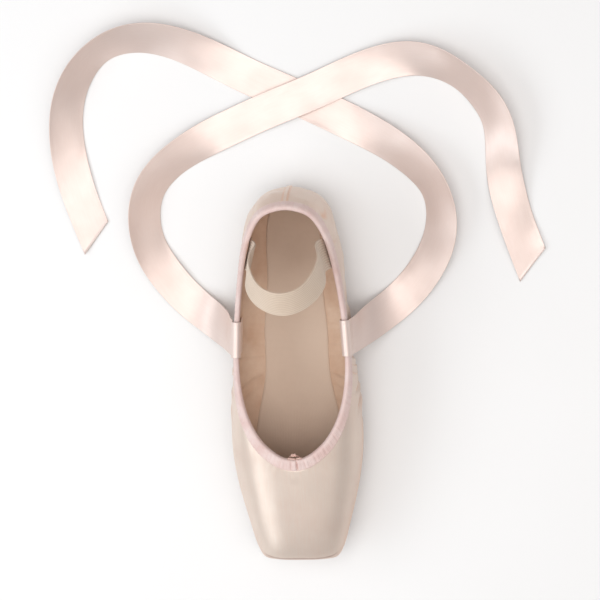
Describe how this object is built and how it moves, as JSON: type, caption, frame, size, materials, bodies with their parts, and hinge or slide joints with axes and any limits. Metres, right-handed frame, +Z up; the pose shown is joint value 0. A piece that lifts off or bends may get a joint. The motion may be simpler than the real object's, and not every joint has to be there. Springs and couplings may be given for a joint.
{
  "type": "pointe shoe",
  "caption": "Pink satin pointe shoe with a stiff square toe box, leather sole, collar binding with a drawstring, ankle elastic and satin ribbons.",
  "frame": {"origin": "on the floor, under the middle of the shoe's length and width", "axes": "+X towards the toe, +Y to the wearer's left, +Z up"},
  "size_m": [0.337, 0.3095, 0.093],
  "materials": {
    "satin": "pale peach satin with a soft broad sheen",
    "binding_tape": "matt pale pink woven tape",
    "drawstring_cord": "matt braided cotton cord",
    "sole_leather": "buffed tan leather, lightly scuffed, with cross ribs",
    "insole_cloth": "matt cotton cloth over board",
    "elastic": "ribbed beige elastic",
    "ribbon_satin": "pale peach satin ribbon"
  },
  "bodies": {
    "root": {"upper": "satin", "collar_binding": "binding_tape", "drawstring_knot": "drawstring_cord", "outsole": "sole_leather", "insole": "insole_cloth", "elastic_band": "elastic", "ribbon_left": "ribbon_satin", "ribbon_right": "ribbon_satin"}
  },
  "joints": []
}
